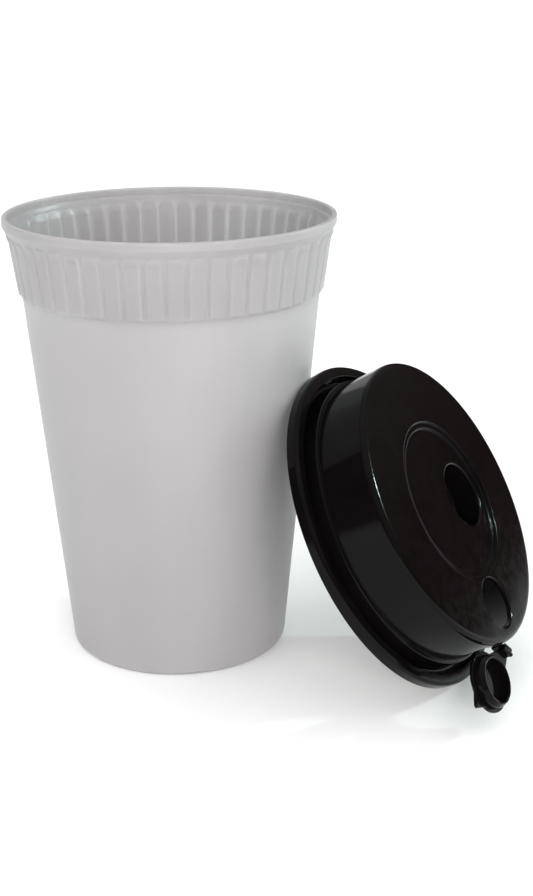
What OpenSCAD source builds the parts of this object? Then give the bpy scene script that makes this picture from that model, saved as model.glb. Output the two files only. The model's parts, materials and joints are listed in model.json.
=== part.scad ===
// Tapered drinking cup with a fluted grip band, and its domed press-on lid.
// The cup stands upright with its base on z = 0 and its axis on Z. The lid is off the cup: it stands on
// its edge beside it and leans on the wall, with its sip plug hanging open.

/* [Cup] */
// Height of the cup
cup_h = 123.6; // [110:0.2:140]
// Outer radius of the lip
lip_r = 45; // [44.5:0.1:45.5]
// Outer radius of the wall at the base
base_r = 30.9; // [29:0.1:33]
// Draft of the wall from upright, in degrees
wall_draft = 5.4; // [5:0.1:5.6]
// Thickness of the wall
wall_t = 1; // [0.8:0.1:1.2]
// Thickness of the base
base_t = 1.4; // [1:0.1:2.5]

/* [Grip band] */
// Distance from the rim down to the band's lower end
band_drop = 20.6; // [18:0.2:24]
// Distance from the rim down to the foot of the flare
flare_drop = 6.2; // [5:0.1:7]
// How far the band stands out from the wall
band_step = 0.7; // [0.4:0.1:1]
// Number of flutes round the band
flutes = 50; // [36:1:60]
// Radius of one flute rib
flute_r = 1.3; // [1:0.1:1.6]

/* [Lid] */
// Outer radius of the skirt
skirt_r = 46.5; // [46.3:0.1:47]
// Depth of the skirt below the flange
skirt_h = 3.4; // [3:0.1:5]
// Outer radius of the dome
dome_r = 40.5; // [40:0.1:40.8]
// Height of the dome's top above the flange
dome_h = 16.8; // [15:0.1:20]
// Thickness of the lid's walls
lid_t = 1.2; // [1:0.1:1.4]
// Radius of the round recess in the top
recess_r = 22.6; // [21:0.1:23]
// Depth of the recess
recess_h = 1.3; // [1:0.1:2]
// Radius of the straw well
well_r = 8.9; // [7:0.1:9]
// Depth of the straw well below the recess
well_h = 8; // [5:0.5:9]
// Radius of the sip hole
sip_r = 7.1; // [5:0.1:7.2]

/* [Plug] */
// Radial clearance of the plug's boss in the sip hole
boss_fit = 0.08; // [0.05:0.01:0.1]
// Radius of the plug's cover disc
cover_r = 8; // [7.9:0.1:8.4]
// How far the plug hangs open, in degrees from shut
plug_open = 185; // [175:1:190]

/* [Resting place of the lid] */
// Tilt of the lid's axis from upright, in degrees
lid_tilt = 59.1; // [58.5:0.1:62]
// Compass direction that the lid's top faces, in degrees from +X
lid_turn = -24.9; // [-26:0.1:-24]
// Centre of the lid's flange to the right of the cup's axis
lid_x = 62.7; // [62.7:0.1:70]
// Centre of the lid's flange behind the cup's axis, negative in front
lid_y = -19.9; // [-25:0.1:-19.9]

/* [Hidden] */
$fn = 96;
small_fn = 24;
eps = 0.01;

// Cup: radii and heights along its outside
corner_r = 1.5;
band_z = cup_h - band_drop;
band_round = 0.5;
flare_z = cup_h - flare_drop;
lip_h = 2.2;
lip_z = cup_h - lip_h;
lip_round = 0.5;
flare_r = lip_r - 1.7;
band_r = wall_r(band_z) + band_step;
function wall_r(z) = base_r + z * tan(wall_draft);

// Cup: its ribs and its inside
flute_proud = 0.25;
flute_foot = 0.8;
flute_head = 0.7;
flute_turn = 1.6;
in_corner = 2;
flare_thin = 0.1;
lip_t = 1.3;
mouth_bevel = 0.3;
mouth_bevel_h = 0.4;

// Lid: heights above the flange plane, radii from the lid's axis
flange_in_r = 43.2;
flange_in_round = 0.4;
flange_round = 1;
moat_h = 3;
moat_r = 42.3;
foot_r = 41.3;
foot_h = 2.6;
foot_round = 0.7;
foot_rise = 0.5;
foot_in_drop = 1.3;
dome_round = 1.6;
under_round = 1;
channel_r = lip_r + 0.3;
seal_top_r = lip_r - 1.5;
seal_low_r = 43.1;
ledge_h = 0.6;
ledge_r = recess_r - 1.7;
ring_t = 0.2;
floor_h = dome_h - recess_h;
well_x = 1.8;
well_y = 10.4;
lid_z = skirt_h * cos(lid_tilt) + skirt_r * sin(lid_tilt);

// Sip hole, tether notch and plug, as directions round the lid's axis from its lowest point
sip_turn = -9.5;
sip_at = 30;
sip_cut = 1.5;
notch_turn = -17;
notch_w = 13;
notch_low = 3.5;
notch_top = 13.6;
notch_depth = 0.7;
hinge_turn = -16;
hinge_at = 42.8;
hinge_h = 16;
hinge_skew = -40;
hinge_r = 0.6;
hinge_len = 4;
hinge_air = 0.25;
tether_t = 1.1;
tether_low = 12.3;
tether_top = 16.4;
tether_reach = 4.5;
tether_gap = 0.05;
boss_lead_h = 1.2;
boss_lead = 0.5;
boss_wall = 0.8;
cover_t = 1;
cover_air = 0.15;
tab_len = 2.6;
tab_w = 4.4;
tab_root = 0.6;
strap_w = 3.6;
strap_in = 0.5;
strap_out = 0.35;
sip_xy = sip_at * [cos(sip_turn), sin(sip_turn)];
hinge_xy = hinge_at * [cos(hinge_turn), sin(hinge_turn)];
strap_run = hinge_xy - sip_xy;
strap_len = norm(strap_run);
strap_turn = atan2(strap_run[1], strap_run[0]) - hinge_turn - hinge_skew;

// Points of an arc from angle a to angle b, about (x, y)
function arc(x, y, r, a, b, n = 6) =
    [for (i = [0:n]) [x, y] + r * [cos(a + (b - a) * i / n), sin(a + (b - a) * i / n)]];

// A point of the shut plug, by its distance from the hinge towards the sip hole and to one side
function plug_xy(along, side) =
    [-along * cos(strap_turn) - side * sin(strap_turn), side * cos(strap_turn) - along * sin(strap_turn)];

module cup_body() {
    color([0.78, 0.77, 0.77, 0.55])
    difference() {
        union() {
            rotate_extrude()
            polygon(concat(
                [[0, 0]],
                arc(base_r + corner_r * tan(wall_draft) - corner_r, corner_r, corner_r, -90, -wall_draft),
                [[wall_r(band_z), band_z]],
                arc(band_r - band_round, band_z + band_round, band_round, -60, 0, 3),
                [[flare_r, flare_z], [lip_r, lip_z]],
                arc(lip_r - lip_round, cup_h - lip_round, lip_round, 0, 90, 4),
                [[0, cup_h]]));
            band_flutes();
        }
        cup_inside();
    }
}

// The ribs of the grip band, leaning with the band's own draft
module band_flutes() {
    band_lean = atan((flare_r - band_r) / (flare_z - band_z));
    rib_len = (flare_z - band_z - flute_foot - flute_head) / cos(band_lean);
    for (i = [0:flutes - 1])
        rotate([0, 0, flute_turn + i * 360 / flutes])
        translate([band_r + flute_proud - flute_r, 0, band_z + flute_foot])
        rotate([0, band_lean, 0])
        cylinder(h = rib_len, r = flute_r, $fn = small_fn);
}

// The space that holds the drink
module cup_inside() {
    mouth_r = lip_r - lip_t;
    rotate_extrude()
    polygon(concat(
        [[0, base_t]],
        arc(wall_r(base_t) - wall_t - in_corner, base_t + in_corner, in_corner, -90, -wall_draft),
        [[wall_r(band_z) - wall_t, band_z], [flare_r - wall_t - flare_thin, flare_z]],
        [[mouth_r, lip_z], [mouth_r, cup_h - mouth_bevel_h], [mouth_r + mouth_bevel, cup_h]],
        [[mouth_r + mouth_bevel, cup_h + 1], [0, cup_h + 1]]));
}

// Moves a shape from the lid's own frame, axis up and flange at z = 0, to where the lid rests
module lid_place() {
    translate([lid_x, lid_y, lid_z])
    rotate([0, lid_tilt, lid_turn])
    children();
}

module lid_shell() {
    color([0.05, 0.05, 0.055])
    lid_place()
    difference() {
        union() {
            difference() {
                rotate_extrude() lid_outline();
                translate([0, 0, floor_h])
                    cylinder(h = dome_h, r = ledge_r);
                translate([0, 0, dome_h - ledge_h])
                    cylinder(h = dome_h, r = recess_r);
            }
            translate([well_x, well_y, floor_h - well_h - lid_t])
                cylinder(h = well_h + lid_t, r = well_r + lid_t);
        }
        translate([well_x, well_y, floor_h - well_h])
            cylinder(h = well_h + eps, r = well_r);
        rotate([0, 0, sip_turn])
            translate([sip_at, 0, dome_h - lid_t - sip_cut])
            cylinder(h = lid_t + 2 * sip_cut, r = sip_r);
        tether_notch();
    }
}

// Half of the lid's section: skirt, channel for the cup's lip, moat, dome wall and top plate
module lid_outline() {
    under = dome_h - lid_t;
    plate_low = floor_h - lid_t;
    in_r = dome_r - lid_t;
    foot_in_r = foot_r - lid_t;
    polygon(concat(
        [[channel_r, -skirt_h], [skirt_r, -skirt_h]],
        arc(skirt_r - flange_round, -flange_round, flange_round, 0, 90),
        arc(flange_in_r + flange_in_round, -flange_in_round, flange_in_round, 90, 180, 3),
        [[moat_r, -moat_h], [foot_r, -moat_h]],
        arc(foot_r - foot_round, foot_h - foot_round, foot_round, 0, 90, 4),
        [[dome_r, foot_h + foot_rise]],
        arc(dome_r - dome_round, dome_h - dome_round, dome_round, 0, 90),
        [[0, dome_h], [0, plate_low], [recess_r + ring_t, plate_low], [recess_r + ring_t, under]],
        arc(in_r - under_round, under - under_round, under_round, 90, 0, 4),
        [[in_r, foot_h - foot_rise], [foot_in_r, foot_h - foot_in_drop], [foot_in_r, -moat_h - lid_t]],
        [[seal_low_r, -moat_h - lid_t], [seal_top_r, -lid_t], [channel_r, -lid_t]]));
}

// The flat-bottomed notch in the dome's wall, behind the tether
module tether_notch() {
    rotate([0, 0, notch_turn])
        translate([dome_r - notch_depth, -notch_w / 2, notch_low])
        cube([2, notch_w, notch_top - notch_low]);
}

// Moves a shape from the hinge's frame, x outward and y along the hinge line, to the lid's own frame
module hinge_place() {
    rotate([0, 0, hinge_turn])
    translate([hinge_at, 0, hinge_h])
    rotate([0, 0, hinge_skew])
    children();
}

// A small L-shaped bracket on the floor of the notch, cut to clear the dome's wall above the notch
module plug_tether() {
    color([0.05, 0.05, 0.055])
    lid_place()
    difference() {
        hinge_place()
            translate([-hinge_r - hinge_air, -hinge_len / 2, tether_low - hinge_h]) {
                translate([-tether_t, 0, 0])
                    cube([tether_t, hinge_len, tether_top - tether_low]);
                translate([-tether_reach, 0, 0])
                    cube([tether_reach, hinge_len, tether_t]);
            }
        rotate([0, 0, notch_turn])
            translate([-dome_r, -dome_r, 0])
            cube([2 * dome_r - notch_depth, 2 * dome_r, dome_h + 1]);
        translate([0, 0, notch_top - tether_gap])
            cylinder(h = dome_h, r = dome_r + tether_gap);
    }
}

// The plug is drawn shut and then swung open about its hinge
module sip_plug() {
    color([0.06, 0.06, 0.065])
    lid_place()
    hinge_place()
    rotate([0, plug_open, 0]) {
        rotate([90, 0, 0])
            cylinder(h = hinge_len, r = hinge_r, center = true, $fn = small_fn);
        plug_shut();
    }
}

// The shut plug, from the middle of its hinge: strap, cover disc with its pointed tab, and hollow boss
module plug_shut() {
    cover_z = dome_h - hinge_h + cover_air;
    straight_h = lid_t + cover_air;
    centre = plug_xy(strap_len, 0);
    tab_at = strap_len + cover_r - tab_root;
    boss_r = sip_r - boss_fit;
    difference() {
        union() {
            translate([centre[0], centre[1], cover_z])
                cylinder(h = cover_t, r = cover_r);
            translate([centre[0], centre[1], cover_z - straight_h])
                cylinder(h = straight_h + eps, r = boss_r);
            translate([centre[0], centre[1], cover_z - straight_h - boss_lead_h])
                cylinder(h = boss_lead_h + eps, r1 = boss_r - boss_lead, r2 = boss_r);
            translate([0, 0, cover_z])
                linear_extrude(cover_t)
                polygon([plug_xy(strap_len + cover_r + tab_len, 0), plug_xy(tab_at, tab_w / 2),
                    [strap_out, strap_w / 2], [strap_out, -strap_w / 2], plug_xy(tab_at, -tab_w / 2)]);
            translate([-strap_in, -strap_w / 2, 0])
                cube([strap_in + strap_out, strap_w, cover_z + cover_t]);
        }
        translate([centre[0], centre[1], cover_z - straight_h - boss_lead_h - eps])
            cylinder(h = straight_h + boss_lead_h, r = boss_r - boss_lead - boss_wall);
    }
}

cup_body();
lid_shell();
plug_tether();
sip_plug();
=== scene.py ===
"""The looks of a tapered drinking cup and its press-on lid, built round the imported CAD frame."""

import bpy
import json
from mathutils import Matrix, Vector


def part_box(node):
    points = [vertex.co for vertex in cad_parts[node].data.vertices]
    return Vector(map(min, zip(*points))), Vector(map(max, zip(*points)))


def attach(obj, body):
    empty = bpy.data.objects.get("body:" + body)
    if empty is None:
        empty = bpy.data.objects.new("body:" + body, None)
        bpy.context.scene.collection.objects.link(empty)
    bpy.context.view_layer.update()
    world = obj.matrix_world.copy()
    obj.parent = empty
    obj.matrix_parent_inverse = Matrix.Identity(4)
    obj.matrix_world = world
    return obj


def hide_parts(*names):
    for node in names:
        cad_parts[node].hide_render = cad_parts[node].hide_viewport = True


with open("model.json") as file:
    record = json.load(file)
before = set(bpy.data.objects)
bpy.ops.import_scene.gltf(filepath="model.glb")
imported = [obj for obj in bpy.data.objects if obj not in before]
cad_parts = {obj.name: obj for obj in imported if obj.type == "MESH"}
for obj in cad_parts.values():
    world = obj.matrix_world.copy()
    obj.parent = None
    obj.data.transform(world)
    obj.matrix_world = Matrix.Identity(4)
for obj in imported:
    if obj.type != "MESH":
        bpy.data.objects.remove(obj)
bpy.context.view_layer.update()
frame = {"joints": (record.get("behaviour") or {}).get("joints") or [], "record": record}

import json
from math import cos, degrees, pi, radians, sin, tan

import bmesh
import bpy
from bpy.props import FloatProperty, FloatVectorProperty, IntProperty, PointerProperty
from mathutils import Matrix, Vector

bl_info = {
    "name": "Cup with press-on lid",
    "version": (1, 0, 0),
    "blender": (4, 5, 0),
    "location": "View3D > Sidebar > Cup",
    "description": "Builds the looks of a drinking cup, its lid and the lid's sip plug",
    "category": "Add Mesh",
}

MM = 0.001
# Corners closer than this, in metres, are one, and a point closer than this to the axis, in millimetres, is on it
SAME_POINT = 1e-6
MOUNTS = {m["name"]: m for m in frame["record"]["mounts"]}
JOINTS = {j["name"]: j for j in frame["joints"]}
LIP_R, _, CUP_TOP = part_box("cup_body")[1]
SIP_R = MOUNTS["sip_hole"]["dims"]["r_mm"]
WELL_R = MOUNTS["straw_well"]["dims"]["r_mm"]
WELL_H = MOUNTS["straw_well"]["dims"]["length_mm"]
# The dome is cut back flat behind the tether: the flat's turn about the lid's axis and its depth
NOTCH_TURN = radians(-17)
NOTCH_DEPTH = 0.7


# ---------------------------------------------------------------- places


def lid_matrix():
    """The lid's own frame: origin at its flange, x down its slope, z along its axis."""
    up = -Vector(MOUNTS["lid_channel"]["axis"]).normalized()
    down = Vector((0, 0, -1))
    x = (down - up * down.dot(up)).normalized()
    y = up.cross(x)
    m = Matrix((x, y, up)).transposed().to_4x4()
    m.translation = Vector(MOUNTS["lid_channel"]["pos_m"])
    return m


LID = lid_matrix()


def in_lid(name):
    """A mount's or joint's place in the lid's own frame, in millimetres."""
    where = MOUNTS[name]["pos_m"] if name in MOUNTS else JOINTS[name]["pos_m"]
    return (LID.inverted() @ Vector(where)) / MM


# ---------------------------------------------------------------- meshes


def arc(x, y, r, start, end, steps=6):
    """Points of an arc about (x, y), from one angle in degrees to another."""
    turns = [radians(start + (end - start) * i / steps) for i in range(steps + 1)]
    return [(x + r * cos(t), y + r * sin(t)) for t in turns]


def revolve(name, outline, angles, closed=False):
    """A mesh turned round Z from (radius, height) points in millimetres, at angles in radians."""
    bm = bmesh.new()
    rows = []
    for r, z in outline:
        if r < SAME_POINT:
            rows.append([bm.verts.new((0, 0, z * MM))])
        else:
            rows.append([bm.verts.new((r * MM * cos(a), r * MM * sin(a), z * MM)) for a in angles])
    pairs = list(zip(rows, rows[1:] + rows[:1])) if closed else list(zip(rows, rows[1:]))
    count = len(angles)
    for low, high in pairs:
        for i in range(count):
            j = (i + 1) % count
            ring = [low[i % len(low)], low[j % len(low)], high[j % len(high)], high[i % len(high)]]
            ring = [v for k, v in enumerate(ring) if v not in ring[:k]]
            if len(ring) > 2:
                bm.faces.new(ring)
    bmesh.ops.recalc_face_normals(bm, faces=bm.faces)
    mesh = bpy.data.meshes.new(name)
    bm.to_mesh(mesh)
    bm.free()
    return mesh


def even_turns(count):
    """Evenly spaced angles round a full turn."""
    return [2 * pi * i / count for i in range(count)]


def turned(name, outline, centre, count, closed=False):
    """A shape turned about an upright axis through a point, in millimetres."""
    mesh = revolve(name, outline, even_turns(count), closed)
    mesh.transform(Matrix.Translation(Vector((centre.x, centre.y, 0)) * MM))
    return mesh


def rectangle(left, right, half_w):
    """The corners of a rectangle that reaches half_w to each side of the x axis."""
    return [(left, -half_w), (right, -half_w), (right, half_w), (left, half_w)]


def add_object(name, mesh, material=None):
    """Puts a mesh in the scene, with one material if one is given."""
    obj = bpy.data.objects.new(name, mesh)
    bpy.context.scene.collection.objects.link(obj)
    if material:
        mesh.materials.clear()
        mesh.materials.append(material)
    return obj


def is_upright(edge):
    """Whether an edge of a slab runs from its lower face to its upper face."""
    return abs(edge.verts[0].co.z - edge.verts[1].co.z) > SAME_POINT


def slab(name, outline, low, high, edge):
    """A flat plate from a closed outline of (x, y) points, with its edges rounded, in millimetres."""
    bm = bmesh.new()
    face = bm.faces.new([bm.verts.new((x * MM, y * MM, low * MM)) for x, y in outline])
    top = bmesh.ops.extrude_face_region(bm, geom=[face])
    moved = [g for g in top["geom"] if isinstance(g, bmesh.types.BMVert)]
    bmesh.ops.translate(bm, verts=moved, vec=(0, 0, (high - low) * MM))
    bmesh.ops.recalc_face_normals(bm, faces=bm.faces)
    if edge:
        rims = [e for e in bm.edges if not is_upright(e)]
        bmesh.ops.bevel(bm, geom=rims, offset=edge * MM, segments=3, profile=0.5, affect="EDGES")
    mesh = bpy.data.meshes.new(name)
    bm.to_mesh(mesh)
    bm.free()
    return mesh


def combine(obj, other, operation):
    """Joins or cuts obj with another mesh, in place."""
    tool = add_object("tool", other)
    mod = obj.modifiers.new("combine", "BOOLEAN")
    mod.operation = operation
    mod.solver = "EXACT"
    mod.object = tool
    bake(obj)
    bpy.data.objects.remove(tool)
    bpy.data.meshes.remove(other)


def bake(obj):
    """Replaces the object's mesh with what its modifiers make of it."""
    bpy.context.view_layer.update()
    depsgraph = bpy.context.evaluated_depsgraph_get()
    made = bpy.data.meshes.new_from_object(obj.evaluated_get(depsgraph))
    old = obj.data
    obj.modifiers.clear()
    obj.data = made
    made.name = obj.name
    if old.users == 0:
        bpy.data.meshes.remove(old)


def finish_piece(obj, body, nodes, place, flat_angle):
    """Sets the piece in its place, smooths its shading and ties it to its CAD body."""
    obj.data.transform(place)
    bm = bmesh.new()
    bm.from_mesh(obj.data)
    bmesh.ops.remove_doubles(bm, verts=bm.verts, dist=SAME_POINT)
    bm.to_mesh(obj.data)
    bm.free()
    for polygon in obj.data.polygons:
        polygon.use_smooth = True
    obj.data.set_sharp_from_angle(angle=radians(flat_angle))
    weigh = obj.modifiers.new("weigh normals", "WEIGHTED_NORMAL")
    weigh.keep_sharp = True
    weigh.weight = 100
    bake(obj)
    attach(obj, body)
    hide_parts(*nodes)


# ---------------------------------------------------------------- materials


def linear(value):
    """An sRGB hex colour as linear red, green, blue and alpha."""
    parts = [int(value[i : i + 2], 16) / 255 for i in (0, 2, 4)]
    return [c / 12.92 if c <= 0.04045 else ((c + 0.055) / 1.055) ** 2.4 for c in parts] + [1]


def add(tree, kind, links=(), values=(), **settings):
    """A node with its settings, its unlinked values and its incoming links."""
    node = tree.nodes.new(kind)
    for key, value in settings.items():
        setattr(node, key, value)
    for key, value in dict(values).items():
        node.inputs[key].default_value = value
    for key, socket in dict(links).items():
        tree.links.new(node.inputs[key], socket)
    return node


def new_material(name):
    """An empty node material with its output, shader and Object coordinates."""
    material = bpy.data.materials.new(name)
    material.use_nodes = True
    tree = material.node_tree
    tree.nodes.clear()
    where = add(tree, "ShaderNodeTexCoord").outputs["Object"]
    shader = add(tree, "ShaderNodeBsdfPrincipled")
    add(tree, "ShaderNodeOutputMaterial", links={"Surface": shader.outputs[0]})
    return material, tree, where, shader


def noise(tree, where, scale, **values):
    """A noise pattern's value, with its scale in waves a metre."""
    node = add(tree, "ShaderNodeTexNoise", links={"Vector": where}, values={"Scale": scale, **values})
    return node.outputs["Fac"]


def two_tone(tree, value, low, high):
    """A colour that runs between two (position, colour) pairs."""
    ramp = add(tree, "ShaderNodeValToRGB", links={"Fac": value})
    for element, (position, colour) in zip(ramp.color_ramp.elements, (low, high)):
        element.position = position
        element.color = colour
    return ramp.outputs[0]


POLYPROPYLENE_IOR = 1.49
BLACK = "black_polypropylene_polished"


def translucent_polypropylene(look):
    """Natural polypropylene, injection moulded: milky, with a satin skin, faint flow marks and painted shade from
    the band up.
    """
    material, tree, where, shader = new_material("natural_polypropylene_moulded")
    # Melt flow leaves cloudy patches that run up the wall, so the pattern is stretched along it
    run = add(tree, "ShaderNodeMapping", links={"Vector": where}, values={"Scale": (1, 1, 0.4)}).outputs[0]
    cloud = noise(tree, run, look.cloud_scale, Detail=3, Roughness=0.55)
    tint = two_tone(tree, cloud, (0.3, look.cup_dark), (0.7, look.cup_light))
    # Painted shade: the cup's colour is multiplied darker from the band's lower end up to the rim, so the band
    # and rim show darker than the plain wall below
    height = add(tree, "ShaderNodeSeparateXYZ", links={0: where}).outputs[2]
    thick = add(tree, "ShaderNodeMapRange", interpolation_type="SMOOTHSTEP", links={"Value": height},
                values={"From Min": 0.1005, "From Max": 0.1035, "To Min": 0.0, "To Max": 1.0}).outputs[0]
    tone = add(tree, "ShaderNodeMix", data_type="RGBA", blend_type="MULTIPLY", links={0: thick, 6: tint},
               values={7: look.band_painted_shade})
    tree.links.new(shader.inputs["Base Color"], tone.outputs[2])
    satin = add(tree, "ShaderNodeMapRange", links={"Value": cloud},
                values={"To Min": look.cup_rough - 0.05, "To Max": look.cup_rough + 0.06})
    tree.links.new(shader.inputs["Roughness"], satin.outputs[0])
    # Slow waves left by the cooling wall, about 17 mm across, under the 0.4 mm grain of the mould
    wave = noise(tree, run, 60, Detail=2)
    grain = noise(tree, where, 2500, Detail=2)
    low = add(tree, "ShaderNodeBump", links={"Height": wave}, values={"Strength": 0.25, "Distance": 0.0002})
    skin = add(tree, "ShaderNodeBump", links={"Height": grain, "Normal": low.outputs[0]},
               values={"Strength": 0.15, "Distance": 0.00002})
    tree.links.new(shader.inputs["Normal"], skin.outputs[0])
    shader.inputs["IOR"].default_value = POLYPROPYLENE_IOR
    shader.inputs["Transmission Weight"].default_value = look.cup_clear
    shader.inputs["Subsurface Weight"].default_value = look.cup_milk
    shader.inputs["Subsurface Radius"].default_value = (1, 1, 1)
    shader.inputs["Subsurface Scale"].default_value = 0.005
    shader.inputs["Specular IOR Level"].default_value = 0.4
    return material


def black_polypropylene(look):
    """Black polypropylene from a polished mould: deep gloss, shrinkage ripples and fine rub marks."""
    material, tree, where, shader = new_material(BLACK)
    # Faint patches, about 11 mm across, where the colour is spread less evenly
    patch = noise(tree, where, 90, Detail=3)
    tint = two_tone(tree, patch, (0.35, look.lid_dark), (0.7, look.lid_light))
    tree.links.new(shader.inputs["Base Color"], tint)
    # Rub marks, 2 to 3 mm across
    rub = noise(tree, where, 420, Detail=4, Roughness=0.7)
    gloss = add(tree, "ShaderNodeMapRange", links={"Value": rub}, values={
        "From Min": 0.3, "From Max": 0.7, "To Min": look.lid_rough - 0.02, "To Max": look.lid_rough + 0.05})
    tree.links.new(shader.inputs["Roughness"], gloss.outputs[0])
    # Shrinkage ripples, about 20 mm across
    sink = noise(tree, where, 48, Detail=1)
    ripple = add(tree, "ShaderNodeBump", links={"Height": sink}, values={"Strength": 0.3, "Distance": 0.0004})
    tree.links.new(shader.inputs["Normal"], ripple.outputs[0])
    shader.inputs["IOR"].default_value = POLYPROPYLENE_IOR
    shader.inputs["Specular IOR Level"].default_value = look.lid_shine
    return material


def studio_floor(look):
    """A white studio floor, matt."""
    material, tree, where, shader = new_material("white_studio_floor")
    # Worn paint takes the sheen off in wide patches
    worn = noise(tree, where, 3, Detail=2)
    matt = add(tree, "ShaderNodeMapRange", links={"Value": worn}, values={"To Min": 0.85, "To Max": 0.95})
    tree.links.new(shader.inputs["Roughness"], matt.outputs[0])
    shader.inputs["Base Color"].default_value = look.floor_colour
    shader.inputs["Specular IOR Level"].default_value = 0.1
    return material


# ---------------------------------------------------------------- sizes and colours to change


def size(name, description, value):
    """A length in millimetres, for a property group."""
    return FloatProperty(name=name, description=description + ", in millimetres", default=value, min=0)


def turn(name, description, value):
    """An angle, given in degrees, for a property group."""
    return FloatProperty(name=name, description=description, default=radians(value), subtype="ANGLE")


def share(name, description, value):
    """A number from 0 to 1, for a property group."""
    return FloatProperty(name=name, description=description, default=value, min=0, max=1, subtype="FACTOR")


def strength(name, description, value):
    """A number of 0 or more, for a property group."""
    return FloatProperty(name=name, description=description, default=value, min=0)


def colour(name, description, value):
    """A colour, given as sRGB hex, for a property group."""
    return FloatVectorProperty(
        name=name, description=description, default=linear(value), size=4, min=0, max=1, subtype="COLOR")


class CupSizes(bpy.types.PropertyGroup):
    """Sizes of the cup"""

    lip_r: size("Lip radius", "Outer radius of the lip", LIP_R / MM)
    height: size("Height", "Height of the cup", CUP_TOP / MM)
    base_r: size("Base radius", "Radius of the wall at the base", 30.9)
    draft: turn("Draft", "Lean of the wall", 5.4)
    wall: size("Wall", "Thickness of the wall", 1.0)
    band_drop: size("Band depth", "From the rim to the band's lower end", 20.6)
    flare_drop: size("Flare depth", "From the rim to the foot of the flare", 6.2)
    band_step: size("Band step", "How far the band stands out", 0.7)
    panels: IntProperty(name="Panels", description="Number of panels round the band", default=50, min=3)
    panel_turn: turn("Panel turn", "Turn of the panels about the axis", 1.6)
    groove: size("Groove", "Width of the groove between two panels", 0.95)
    relief: size("Relief", "Height of a panel above its groove", 0.5)


class LidSizes(bpy.types.PropertyGroup):
    """Sizes of the lid and its plug"""

    skirt_r: size("Skirt radius", "Outer radius of the skirt", 46.5)
    skirt_h: size("Skirt depth", "Depth of the skirt below the flange", 3.4)
    dome_r: size("Dome radius", "Outer radius of the dome", 40.5)
    dome_h: size("Dome height", "Height of the dome above the flange", 16.8)
    wall: size("Wall", "Thickness of the lid's walls", 1.2)
    recess_r: size("Recess radius", "Radius of the round recess in the top", 22.6)
    recess_h: size("Recess depth", "Depth of the round recess", 1.3)
    cover_r: size("Plug cover radius", "Radius of the plug's cover disc", 8.0)


class Looks(bpy.types.PropertyGroup):
    """Colours and finishes of the cup and the lid, and strengths of the light"""

    cup_dark: colour("Cup colour, dark", "Colour of the cup's thicker patches", "A7A5A6")
    cup_light: colour("Cup colour, light", "Colour of the cup's thinner patches", "AFADAE")
    # Painted shade: the colour that darkens the cup from its band up to the rim
    band_painted_shade: colour("Band tone", "Colour that the cup is multiplied by at its band", "EEEDEE")
    lid_dark: colour("Lid colour, dark", "Colour of the lid's darker patches", "070606")
    lid_light: colour("Lid colour, light", "Colour of the lid's lighter patches", "0A0808")
    floor_colour: colour("Floor colour", "Colour of the studio floor", "FAFAFA")
    cup_rough: share("Cup roughness", "Roughness of the cup's skin", 0.38)
    cup_clear: share("Cup clearness", "Share of light that passes straight through", 0.3)
    cup_milk: share("Cup milkiness", "Share of light scattered inside the wall", 1.0)
    cloud_scale: strength("Cloud scale", "Scale of the cloudy flow marks, in waves a metre", 28.0)
    lid_rough: share("Lid roughness", "Roughness of the lid's gloss", 0.1)
    lid_shine: share("Lid shine", "Strength of the lid's reflections", 0.1)
    soft_light: strength("Soft light", "Strength of the even light", 1.06)
    room_gloss: strength("Room in the gloss", "Strength of the reflected room", 1.6)


# ---------------------------------------------------------------- the cup

# The wall stands this far inside the lip where the band ends and the flare begins
FLARE_IN = 1.7
# The panels' arched upper ends, as a share of half a panel's width, and the fall of their faces to the sides
ARCH = 0.95
CROWN = 0.3
# Distances from a panel's edge where its slope ends inside it and begins outside it
EDGE_IN = 0.35 * MM
EDGE_OUT = 0.25 * MM
# The panels fade out over this much below and above them
FADE_LOW = 0.7 * MM
FADE_HIGH = 0.8 * MM
# Lean of the surface midway between the band's two faces
BAND_LEAN = 0.136


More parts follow.
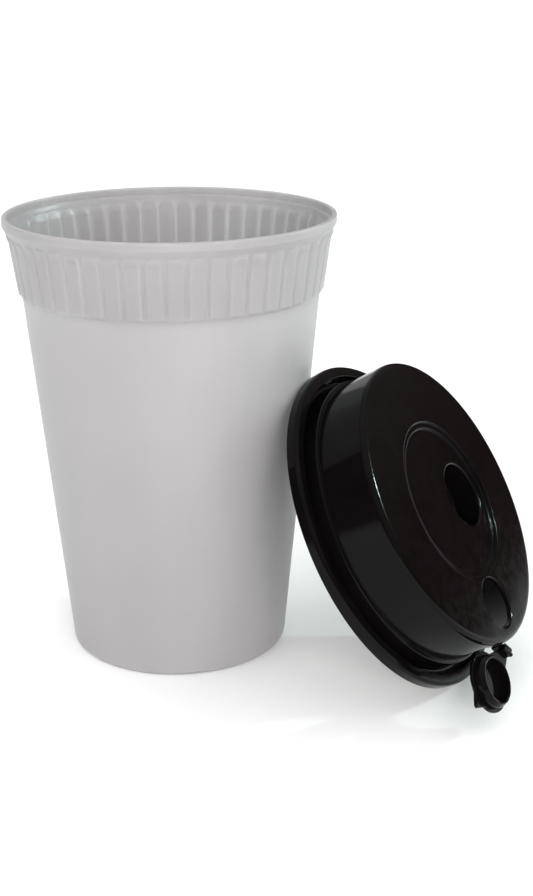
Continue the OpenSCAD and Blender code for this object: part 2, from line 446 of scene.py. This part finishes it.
def cup_outline(s):
    """The cup's section as (radius, height) points, up its outside and down its inside, and two heights."""
    lean = tan(s.draft)
    draft = degrees(s.draft)

    def wall_r(z):
        return s.base_r + z * lean

    h = s.height
    band = h - s.band_drop
    flare = h - s.flare_drop
    band_r = wall_r(band) + s.band_step
    flare_r = s.lip_r - FLARE_IN
    lip_low = h - 2.2
    corner = 1.5
    outer = [(0, 0.5), (s.base_r - 7.5, 0.5), (s.base_r - 6.3, 0.3), (s.base_r - 5.6, 0)]
    outer += arc(s.base_r + corner * lean - corner, corner, corner, -90, -draft, 7)
    outer += [(wall_r(z), z) for z in (4, 8, 16, 30, 50, 70, 85, 95, 100, band - 0.8)]
    outer += arc(wall_r(band) + 0.25, band - 0.25, 0.25, 180, 90, 3)
    outer += arc(band_r - 0.4, band + 0.4, 0.4, -70, 0, 4)
    # Heights above the band's lower end and above the flare's foot, close together where panels begin and end
    rows = [0.7, 1.0, 1.3, 1.6, 2.0, 2.5, 3.2, 4.5, 6.5, 8.5, 10.5]
    rows += [11.6, 12.2, 12.6, 13.0, 13.35, 13.7, 14.05]
    slope = (flare_r - band_r) / (flare - band)
    outer += [(band_r + slope * z, band + z) for z in rows]
    bell = [0.15, 0.5, 0.85, 1.15, 1.4, 1.65, 1.9, 2.15, 2.45, 2.8]
    outer += [(flare_r + 0.05 + 0.35 * z, flare + z) for z in bell]
    outer += [(s.lip_r - 0.35, lip_low - 0.5), (s.lip_r - 0.06, lip_low - 0.1), (s.lip_r, lip_low + 0.15)]
    outer += arc(s.lip_r - 0.5, h - 0.5, 0.5, 0, 90, 5)
    mouth = s.lip_r - 1.3
    inner = arc(mouth + 0.35, h - 0.35, 0.35, 90, 180, 4)
    inner += [(mouth, lip_low + 0.3), (mouth - 0.08, lip_low + 0.08), (mouth - 0.3, lip_low)]
    inner += [(mouth - 0.5, lip_low - 0.2)]
    inner += [(flare_r - s.wall - 0.15 + 0.28 * z, flare + z) for z in reversed(bell)]
    thick = s.wall + 0.1
    inner += [(band_r - thick + slope * z, band + z) for z in reversed(rows)]
    inner += [(band_r - thick, band + 0.35), (wall_r(band) - s.wall + 0.3, band - 0.05)]
    inner += [(wall_r(band - 0.8) - s.wall, band - 0.8)]
    inner += [(wall_r(z) - s.wall, z) for z in (100, 95, 85, 70, 50, 30, 16, 8, 4.4)]
    floor = 1.4
    inner += arc(wall_r(floor) - s.wall - 2, floor + 2, 2, -draft, -90, 7)[1:]
    inner += [(s.base_r - 6, floor), (0, floor + 0.1)]
    return outer + inner, band, flare


def panel_turns(count, groove, pitch):
    """Angles round the cup in radians, close together at the grooves between the panels."""
    edge = groove / pitch / 2
    # Places over one pitch, from the middle of one groove to the middle of the next
    steps = [0, edge * 0.35, edge * 0.7, edge, edge + 0.05, edge + 0.14, 0.5, 0.86 - edge, 0.95 - edge,
             1 - edge, 1 - edge * 0.7, 1 - edge * 0.35]
    return [2 * pi * (i + t - 0.5) / count for i in range(count) for t in steps]


def panel_tree(material):
    """Raises round-ended panels round the band: out on the outer face, in on the inner face."""
    tree = bpy.data.node_groups.new("grip_panels", "GeometryNodeTree")
    sockets = tree.interface
    sockets.new_socket("Geometry", in_out="INPUT", socket_type="NodeSocketGeometry")
    for name in ("Panels", "Groove", "Relief", "Low", "High", "Corner", "Middle radius"):
        sockets.new_socket(name, in_out="INPUT", socket_type="NodeSocketFloat")
    sockets.new_socket("Geometry", in_out="OUTPUT", socket_type="NodeSocketGeometry")
    given = add(tree, "NodeGroupInput").outputs

    def maths(operation, *values):
        """The result of a Math node on sockets and numbers."""
        node = add(tree, "ShaderNodeMath", operation=operation)
        for i, value in enumerate(values):
            if isinstance(value, bpy.types.NodeSocket):
                tree.links.new(node.inputs[i], value)
            else:
                node.inputs[i].default_value = value
        return node.outputs[0]

    def length(x, y):
        """The length of the line across and along two others."""
        return maths("SQRT", maths("ADD", maths("MULTIPLY", x, x), maths("MULTIPLY", y, y)))

    def smooth(value, start, end, first, last):
        """A value that runs smoothly from first to last while another runs from start to end."""
        given_to = {"Value": value, "From Min": start, "From Max": end, "To Min": first, "To Max": last}
        is_link = {key: isinstance(x, bpy.types.NodeSocket) for key, x in given_to.items()}
        return add(tree, "ShaderNodeMapRange", interpolation_type="SMOOTHSTEP",
                   links={key: x for key, x in given_to.items() if is_link[key]},
                   values={key: x for key, x in given_to.items() if not is_link[key]}).outputs[0]

    position = add(tree, "GeometryNodeInputPosition").outputs[0]
    place = add(tree, "ShaderNodeSeparateXYZ", links={0: position}).outputs
    radius = length(place[0], place[1])
    round_axis = maths("DIVIDE", maths("ARCTAN2", place[1], place[0]), 2 * pi)
    in_panels = maths("MULTIPLY", round_axis, given["Panels"])
    step = maths("SUBTRACT", maths("FRACT", maths("ADD", in_panels, 0.5)), 0.5)
    pitch = maths("DIVIDE", maths("MULTIPLY", radius, 2 * pi), given["Panels"])
    across = maths("ABSOLUTE", maths("MULTIPLY", step, pitch))
    half_w = maths("SUBTRACT", maths("MULTIPLY", pitch, 0.5), maths("MULTIPLY", given["Groove"], 0.5))
    half_h = maths("MULTIPLY", maths("SUBTRACT", given["High"], given["Low"]), 0.5)
    mid_z = maths("MULTIPLY", maths("ADD", given["High"], given["Low"]), 0.5)
    rise = maths("SUBTRACT", place[2], mid_z)
    # The upper end is a wide arch, the lower end has small corners
    arch = maths("MULTIPLY", half_w, ARCH)
    is_upper = maths("GREATER_THAN", rise, 0)
    corner = maths("ADD", maths("MULTIPLY", arch, is_upper),
                    maths("MULTIPLY", given["Corner"], maths("SUBTRACT", 1, is_upper)))
    dx = maths("ADD", maths("SUBTRACT", across, half_w), corner)
    dz = maths("ADD", maths("SUBTRACT", maths("ABSOLUTE", rise), half_h), corner)
    far = length(maths("MAXIMUM", dx, 0), maths("MAXIMUM", dz, 0))
    inside = maths("MINIMUM", maths("MAXIMUM", dx, dz), 0)
    away = maths("SUBTRACT", maths("ADD", far, inside), corner)
    ramp = smooth(away, -EDGE_IN, EDGE_OUT, 1, 0)
    crown = maths("SUBTRACT", 1, maths("MULTIPLY", maths("POWER", maths("DIVIDE", across, half_w), 2), CROWN))
    height = maths("MULTIPLY", maths("MULTIPLY", ramp, crown), given["Relief"])
    # Half the relief lies outside the plain band and half is cut into it
    sunk = maths("SUBTRACT", height, maths("MULTIPLY", given["Relief"], 0.5))
    middle = maths("ADD", given["Middle radius"], maths("MULTIPLY", rise, BAND_LEAN))
    # The inner face takes the pattern half as deep and the other way round: 1 outside, -0.5 inside
    side = maths("SUBTRACT", maths("MULTIPLY", maths("GREATER_THAN", radius, middle), 1.5), 0.5)
    fade_low = smooth(place[2], maths("SUBTRACT", given["Low"], FADE_LOW), given["Low"], 0, 1)
    fade_high = smooth(place[2], given["High"], maths("ADD", given["High"], FADE_HIGH), 1, 0)
    push = maths("MULTIPLY", maths("MULTIPLY", sunk, side), maths("MULTIPLY", fade_low, fade_high))
    # Never 0, so that the points on the axis can be divided by it
    some_radius = maths("MAXIMUM", radius, 0.01 * MM)
    outward = add(tree, "ShaderNodeCombineXYZ", links={
        i: maths("DIVIDE", place[i], some_radius) for i in (0, 1)})
    offset = add(tree, "ShaderNodeVectorMath", operation="SCALE", links={
        0: outward.outputs[0], "Scale": push})
    moved = add(tree, "GeometryNodeSetPosition", links={
        "Geometry": given["Geometry"], "Offset": offset.outputs[0]})
    real = add(tree, "GeometryNodeRealizeInstances", links={0: moved.outputs[0]})
    painted = add(tree, "GeometryNodeSetMaterial", links={"Geometry": real.outputs[0]},
                  values={"Material": material})
    add(tree, "NodeGroupOutput", links={0: painted.outputs[0]})
    return tree


def set_inputs(modifier, values):
    """Sets a node modifier's named inputs by their socket identifiers."""
    for item in modifier.node_group.interface.items_tree:
        if item.item_type == "SOCKET" and item.in_out == "INPUT" and item.name in values:
            modifier[item.identifier] = float(values[item.name])


class CUP_OT_wall(bpy.types.Operator):
    """Builds the cup with its grip band of raised panels"""

    bl_idname = "cup.wall"
    bl_label = "Cup"

    def execute(self, context):
        s = context.scene.cup_sizes
        outline, band, flare = cup_outline(s)
        band_r = s.base_r + band * tan(s.draft) + s.band_step
        pitch = 2 * pi * band_r / s.panels
        material = translucent_polypropylene(context.scene.cup_looks)
        mesh = revolve("cup_wall", outline, panel_turns(s.panels, s.groove, pitch))
        obj = add_object("cup_wall", mesh, material)
        panels = obj.modifiers.new("grip panels", "NODES")
        panels.node_group = panel_tree(material)
        set_inputs(panels, {
            "Panels": s.panels, "Groove": s.groove * MM, "Relief": s.relief * MM, "Low": (band + 0.4) * MM,
            "High": (flare + 2.1) * MM, "Corner": 0.8 * MM,
            "Middle radius": ((band_r + s.lip_r - FLARE_IN) / 2 - 0.35) * MM})
        bake(obj)
        finish_piece(obj, "cup", ["cup_body"], Matrix.Rotation(s.panel_turn, 4, "Z"), flat_angle=60)
        return {"FINISHED"}


# ---------------------------------------------------------------- the lid


def lid_outline(s):
    """The lid's section as a closed ring of (radius, height) points, flange plane at 0."""
    channel = s.skirt_r - 1.2
    under = s.dome_h - s.wall
    floor = s.dome_h - s.recess_h
    ledge = 0.6
    ledge_r = s.recess_r - 1.7
    foot_r = s.dome_r + 0.8
    foot_h = 2.6
    moat = 3.0
    moat_r = 42.3
    # The flange and the skirt, from the channel's mouth outwards and over
    points = [(channel + 0.2, -s.skirt_h)] + arc(s.skirt_r - 0.3, -s.skirt_h + 0.3, 0.3, -90, 0, 3)
    points += arc(s.skirt_r - 1.2, -1.2, 1.2, 0, 84, 9)
    points += [(44.6, 0), (44.2, 0)]
    # The moat between the flange and the dome, and the dome's thicker foot
    points += arc(43.7, -0.5, 0.5, 90, 172, 5)
    points += [(moat_r + 0.42, -moat + 0.9)]
    points += arc(moat_r - 0.02, -moat + 0.45, 0.45, 0, -90, 4)
    points += arc(foot_r + 0.3, -moat + 0.3, 0.3, -90, -180, 3)
    points += [(foot_r, -1.0), (foot_r, 0.6)]
    points += arc(foot_r - 0.6, foot_h - 0.6, 0.6, 0, 88, 6)
    points += arc(s.dome_r + 0.14, foot_h + 0.16, 0.16, -90, -175, 3)
    points += [(s.dome_r, foot_h + 0.9), (s.dome_r, 6), (s.dome_r, 9), (s.dome_r, 12)]
    # The dome's shoulder, the flat top and the recess with its narrow ledge
    points += arc(s.dome_r - 1.6, s.dome_h - 1.6, 1.6, 0, 90, 12)
    points += [(s.dome_r - 2.4, s.dome_h), (s.recess_r + 8, s.dome_h), (s.recess_r + 0.8, s.dome_h)]
    points += arc(s.recess_r + 0.3, s.dome_h - 0.3, 0.3, 90, 180, 5)
    points += arc(s.recess_r - 0.15, s.dome_h - ledge + 0.15, 0.15, 0, -90, 3)
    points += [(s.recess_r - 0.6, s.dome_h - ledge), (ledge_r + 0.7, s.dome_h - ledge)]
    points += arc(ledge_r + 0.3, s.dome_h - ledge - 0.3, 0.3, 90, 180, 5)
    points += arc(ledge_r - 0.2, floor + 0.2, 0.2, 0, -90, 3)
    points += [(ledge_r - 0.7, floor), (12, floor), (0, floor)]
    # The underside, from the axis out to the channel
    points += [(0, floor - s.wall), (s.recess_r + 0.2, floor - s.wall), (s.recess_r + 0.2, under)]
    points += arc(s.dome_r - s.wall - 1, under - 1, 1, 90, 0, 5)
    points += [(s.dome_r - s.wall, foot_h - 0.5), (foot_r - s.wall, foot_h - 1.3)]
    points += [(foot_r - s.wall, -moat - 1.2)]
    points += [(43.1, -moat - 1.2), (s.skirt_r - 3.0, -1.2), (channel, -1.2)]
    return points


class CUP_OT_lid(bpy.types.Operator):
    """Builds the domed lid with its recess, straw well, sip hole and notch"""

    bl_idname = "cup.lid"
    bl_label = "Lid"

    def execute(self, context):
        s = context.scene.lid_sizes
        material = black_polypropylene(context.scene.cup_looks)
        cap = revolve("lid_cap", lid_outline(s), even_turns(256), closed=True)
        obj = add_object("lid_cap", cap, material)
        top = s.dome_h
        floor = top - s.recess_h
        # The well is a cup hung under the recess, then hollowed with a rounded mouth
        well = in_lid("straw_well")
        bottom = floor - WELL_H
        filler = [(0, bottom - s.wall)] + arc(WELL_R + s.wall - 1, bottom - s.wall + 1, 1, -90, 0, 5)
        filler += [(WELL_R + s.wall, floor - 0.5), (0, floor - 0.5)]
        combine(obj, turned("well", filler, well, 96), "UNION")
        cut = [(0, bottom)] + arc(WELL_R - 0.9, bottom + 0.9, 0.9, -90, 0, 6)
        cut += arc(WELL_R + 0.6, floor - 0.6, 0.6, 180, 96, 7)
        cut += [(WELL_R + 1.2, floor + 1.5), (0, floor + 1.5)]
        combine(obj, turned("well_cut", cut, well, 128), "DIFFERENCE")
        # The sip hole goes right through the top, with a small rounding above and below
        hole = in_lid("sip_hole")
        cut = [(0, top - s.wall - 1.5), (SIP_R + 0.5, top - s.wall - 1.5)]
        cut += arc(SIP_R + 0.25, top - s.wall, 0.25, 264, 180, 4)
        cut += arc(SIP_R + 0.4, top - 0.4, 0.4, 180, 96, 6) + [(SIP_R + 0.9, top + 1.5), (0, top + 1.5)]
        combine(obj, turned("sip_cut", cut, hole, 128), "DIFFERENCE")
        combine(obj, self.notch(s), "DIFFERENCE")
        finish_piece(obj, "lid", ["lid_shell"], LID, flat_angle=38)
        return {"FINISHED"}

    def notch(self, s):
        """The cutter for the flat notch behind the tether, drawn flat and then stood against the dome."""
        half_w = 6.5
        height = 10.1
        low = 3.5
        mesh = slab("notch", [(-half_w, 0), (half_w, 0), (half_w, height), (-half_w, height)], 0, 2.5, 0)
        bm = bmesh.new()
        bm.from_mesh(mesh)
        ups = [e for e in bm.edges if is_upright(e)]
        bmesh.ops.bevel(bm, geom=ups, offset=1.2 * MM, segments=5, profile=0.5, affect="EDGES")
        bm.to_mesh(mesh)
        bm.free()
        out = (s.dome_r - NOTCH_DEPTH) * MM
        stand = Matrix(((0, 0, 1, out), (1, 0, 0, 0), (0, 1, 0, low * MM), (0, 0, 0, 1)))
        mesh.transform(Matrix.Rotation(NOTCH_TURN, 4, "Z") @ stand)
        return mesh


# ---------------------------------------------------------------- the sip plug and its tether

# How far the strap reaches past the hinge's axis
HINGE_LINE = 0.35


def hinge_frame():
    """The hinge's own frame in the lid's frame, in millimetres: x outward, y along the hinge, z up."""
    joint = JOINTS["plug_hinge"]
    y = -(LID.to_3x3().inverted() @ Vector(joint["axis"])).normalized()
    z = Vector((0, 0, 1))
    m = Matrix((y.cross(z), y, z)).transposed().to_4x4()
    m.translation = in_lid("plug_hinge")
    return m


def rest_turn():
    """Turns the shut plug to where it hangs at rest, in the row frame."""
    joint = JOINTS["plug_hinge"]
    pin = Matrix.Translation(Vector(joint["pos_m"]))
    swing = Matrix.Rotation(-radians(joint["range_deg"][1]), 4, Vector(joint["axis"]))
    return pin @ swing @ pin.inverted()


def hinge_place():
    """Takes a mesh from the hinge's own frame to the lid's frame, in metres."""
    place = hinge_frame()
    place.translation = place.translation * MM
    return place


def flap_outline(centre, r, half_w, tab_len):
    """The plug's plan in the hinge's frame: cover disc, pointed tab beyond it and strap to the hinge."""
    away = centre.normalized()
    side = Vector((-away.y, away.x))
    begin = centre.angle_signed(Vector((1, 0)))
    tip = centre + away * (r + tab_len)
    # Half the angles over which the tab and the strap leave the disc
    tab_turn = 18
    strap_turn = 30
    sweep = 180 - strap_turn - tab_turn

    def rim(start):
        """The disc's edge on one side, from so many degrees round."""
        turns = [begin + radians(start + sweep * i / 40) for i in range(41)]
        return [centre + r * Vector((cos(t), sin(t))) for t in turns]

    one_side, other_side = rim(tab_turn), rim(180 + strap_turn)
    corners = [Vector((x, y * half_w)) for x, y in ((0, -1), (HINGE_LINE, -1), (HINGE_LINE, 1), (0, 1))]
    if (corners[0] - one_side[-1]).length > (corners[-1] - one_side[-1]).length:
        corners.reverse()
    hollow_one, hollow_other = (edge.lerp(tip, 0.45) for edge in (other_side[-1], one_side[0]))
    tab = [hollow_one - side * 0.25, tip - side * 0.45, tip, tip + side * 0.45, hollow_other + side * 0.25]
    return [(p.x, p.y) for p in one_side + corners + other_side + tab]


class CUP_OT_plug(bpy.types.Operator):
    """Builds the sip plug: cover disc, hollow boss, strap and hinge bead"""

    bl_idname = "cup.plug"
    bl_label = "Sip plug"

    def execute(self, context):
        s = context.scene.lid_sizes
        material = bpy.data.materials[BLACK]
        hinge = hinge_frame()
        centre = (hinge.inverted() @ in_lid("sip_hole")).to_2d()
        # The shut flap lies this far above the lid's top
        low = s.dome_h - hinge.translation.z + 0.15
        half_w = 1.8
        plan = flap_outline(centre, s.cover_r, half_w, tab_len=2.6)
        obj = add_object("sip_plug_flap", slab("sip_plug_flap", plan, low, low + 1, 0.22), material)
        # The hollow boss, with a soft bead at its mouth
        boss = SIP_R - 0.08
        ring = [(boss - 1.5, low + 0.4), (boss - 1.4, low - 2.35)]
        ring += arc(boss - 0.9, low - 2.3, 0.25, 200, 340, 5)
        ring += [(boss - 0.45, low - 1.9), (boss - 0.1, low - 1.45), (boss, low - 1.2), (boss, low + 0.4)]
        combine(obj, turned("boss", ring, centre, 96, closed=True), "UNION")
        # The strap's end goes down to the hinge's axis and ends in a round bead along it
        post = rectangle(-0.5, HINGE_LINE, half_w)
        combine(obj, slab("post", post, 0, low + 0.6, 0), "UNION")
        round_end = arc(0.45, -1.85, 0.15, -90, 0, 3) + arc(0.45, 1.85, 0.15, 0, 90, 3)
        bead = revolve("bead", [(0, -2), *round_end, (0, 2)], even_turns(24))
        bead.transform(Matrix.Rotation(pi / 2, 4, "X"))
        combine(obj, bead, "UNION")
        finish_piece(obj, "plug", ["sip_plug"], rest_turn() @ LID @ hinge_place(), flat_angle=40)
        return {"FINISHED"}


class CUP_OT_tether(bpy.types.Operator):
    """Builds the bracket on the lid that holds the plug's hinge"""

    bl_idname = "cup.tether"
    bl_label = "Tether"

    def execute(self, context):
        s = context.scene.lid_sizes
        material = bpy.data.materials[BLACK]
        # Heights of the bracket above the flange, taken to the hinge's own frame
        low, top = (height - in_lid("plug_hinge").z for height in (12.3, 16.4))
        half_w = 2
        post = slab("plug_bracket", rectangle(-1.95, -0.85, half_w), low, top, 0.25)
        obj = add_object("plug_bracket", post, material)
        combine(obj, slab("foot", rectangle(-5.35, -0.85, half_w), low, low + 1.1, 0.2), "UNION")
        obj.data.transform(hinge_place())
        # The bracket stops short of the dome above the notch, and ends on the notch's flat below
        dome = s.dome_r + 0.05
        combine(obj, revolve("dome", [(0, 13.55), (dome, 13.55), (dome, 34.55), (0, 34.55)], even_turns(256)),
                "DIFFERENCE")
        flat = slab("flat", rectangle(-45, s.dome_r - NOTCH_DEPTH, 20), 0, 17.8, 0)
        flat.transform(Matrix.Rotation(NOTCH_TURN, 4, "Z"))
        combine(obj, flat, "DIFFERENCE")
        finish_piece(obj, "lid", ["plug_tether"], LID, flat_angle=40)
        return {"FINISHED"}


# ---------------------------------------------------------------- stage


class CUP_OT_stage(bpy.types.Operator):
    """Builds the floor, the light and the camera"""

    bl_idname = "cup.stage"
    bl_label = "Stage"

    def execute(self, context):
        scene = context.scene
        scene.view_settings.view_transform = "Standard"
        scene.view_settings.look = "None"
        half = 4
        floor = bpy.data.meshes.new("floor")
        floor.from_pydata([(x, y, 0) for x, y in rectangle(-half, half, half)], [], [(0, 1, 2, 3)])
        add_object("floor", floor, studio_floor(scene.cup_looks))
        self.world(scene)
        cup_middle = (0, 0, 0.06)
        dome_middle = (0.08, -0.02, 0.04)
        self.lamp("soft_left", (-0.7, -0.55, 0.8), cup_middle, 0.7, 1.5, "FFFDFA").visible_glossy = False
        self.lamp("front_fill", (0.27, -1.28, 0.35), cup_middle, 0.7, 14.5, "FFFEFD").visible_glossy = False
        self.lamp("small_lamp", (1.46, 0.55, 0.58), dome_middle, 0.07, 9, "DFFFF8")
        self.camera(scene)
        return {"FINISHED"}

    def camera(self, scene):
        """A camera in front of the cup and a little above it, tilted down."""
        data = bpy.data.cameras.new("camera")
        data.sensor_width = 36
        data.sensor_fit = "AUTO"
        data.lens = 57.9
        data.clip_start = 0.01
        camera = bpy.data.objects.new("camera", data)
        scene.collection.objects.link(camera)
        camera.location = (0.026244, -0.388395, 0.189538)
        camera.rotation_euler = (radians(71.0455), radians(0.1716), radians(0.0058))
        scene.camera = camera

    def world(self, scene):
        """White to the camera, even soft light on every surface, and a made-up room in the gloss."""
        look = scene.cup_looks
        world = bpy.data.worlds.new("studio")
        scene.world = world
        world.use_nodes = True
        tree = world.node_tree
        tree.nodes.clear()
        way = add(tree, "ShaderNodeTexCoord").outputs["Generated"]

        def toward(azimuth, elevation, near, far):
            """1 within near degrees of a direction, falling to 0 at far degrees."""
            a, e = radians(azimuth), radians(elevation)
            dot = add(tree, "ShaderNodeVectorMath", operation="DOT_PRODUCT", links={0: way},
                      values={1: (cos(e) * cos(a), cos(e) * sin(a), sin(e))}).outputs["Value"]
            return add(tree, "ShaderNodeMapRange", interpolation_type="SMOOTHSTEP", links={"Value": dot},
                       values={"From Min": cos(radians(far)), "From Max": cos(radians(near))}).outputs[0]

        def mix(amount, tone, before):
            """Lays one tone over what is there, as much as the amount says."""
            links = {0: amount} if isinstance(before, list) else {0: amount, 6: before}
            values = {6: before, 7: linear(tone)} if isinstance(before, list) else {7: linear(tone)}
            node = add(tree, "ShaderNodeMix", data_type="RGBA", blend_type="MIX", links=links, values=values)
            return node.outputs[2]

        # The dim room, then the ceiling, a window behind on the left, two pale walls and the low left side
        tone = linear("2C0A0E")
        for place, bright in (
            ((0, 90, 20, 80), "B4B4B6"),
            ((118, 24, 12, 42), "C4C6C6"),
            ((38, 30, 12, 27), "706A6A"),
            ((-75, 40, 12, 40), "8C8C90"),
            ((180, -10, 25, 80), "303034"),
        ):
            tone = mix(toward(*place), bright, tone)
        room = add(tree, "ShaderNodeBackground", links={"Color": tone}, values={"Strength": look.room_gloss})
        white = linear("FFFFFF")
        soft = add(tree, "ShaderNodeBackground", values={"Color": white, "Strength": look.soft_light})
        # A little over 1, so that it shows as plain white
        plain = add(tree, "ShaderNodeBackground", values={"Color": white, "Strength": 1.1})
        path = add(tree, "ShaderNodeLightPath").outputs
        lit = add(tree, "ShaderNodeMixShader", links={
            0: path["Is Glossy Ray"], 1: soft.outputs[0], 2: room.outputs[0]})
        seen = add(tree, "ShaderNodeMixShader", links={
            0: path["Is Camera Ray"], 1: lit.outputs[0], 2: plain.outputs[0]})
        add(tree, "ShaderNodeOutputWorld", links={0: seen.outputs[0]})

    def lamp(self, name, where, target, across, power, tone):
        """A round lamp that faces a point, with its power in watts."""
        data = bpy.data.lights.new(name, "AREA")
        data.shape = "DISK"
        data.size = across
        data.energy = power
        data.color = linear(tone)[:3]
        lamp = bpy.data.objects.new(name, data)
        bpy.context.scene.collection.objects.link(lamp)
        lamp.location = where
        lamp.rotation_euler = (Vector(target) - Vector(where)).to_track_quat("-Z", "Y").to_euler()
        return lamp


# ---------------------------------------------------------------- add-on


class CUP_PT_panel(bpy.types.Panel):
    """Lists the sizes, the looks and the pieces"""

    bl_idname = "CUP_PT_panel"
    bl_label = "Cup with lid"
    bl_space_type = "VIEW_3D"
    bl_region_type = "UI"
    bl_category = "Cup"

    def draw(self, context):
        for group in ("cup_sizes", "lid_sizes", "cup_looks"):
            values = getattr(context.scene, group)
            box = self.layout.box()
            for name in values.bl_rna.properties.keys():
                if name not in ("rna_type", "name"):
                    box.prop(values, name)
        for operator in OPERATORS:
            self.layout.operator(operator.bl_idname)


GROUPS = {"cup_sizes": CupSizes, "lid_sizes": LidSizes, "cup_looks": Looks}
OPERATORS = (CUP_OT_stage, CUP_OT_wall, CUP_OT_lid, CUP_OT_plug, CUP_OT_tether)
CLASSES = (*GROUPS.values(), *OPERATORS, CUP_PT_panel)


def register():
    for cls in CLASSES:
        bpy.utils.register_class(cls)
    for name, cls in GROUPS.items():
        setattr(bpy.types.Scene, name, PointerProperty(type=cls))


def unregister():
    for name in GROUPS:
        delattr(bpy.types.Scene, name)
    for cls in reversed(CLASSES):
        bpy.utils.unregister_class(cls)


def main():
    """Builds the stage and the pieces."""
    register()
    bpy.ops.cup.stage()
    bpy.ops.cup.wall()
    bpy.ops.cup.lid()
    bpy.ops.cup.plug()
    bpy.ops.cup.tether()


if __name__ == "__main__":
    main()
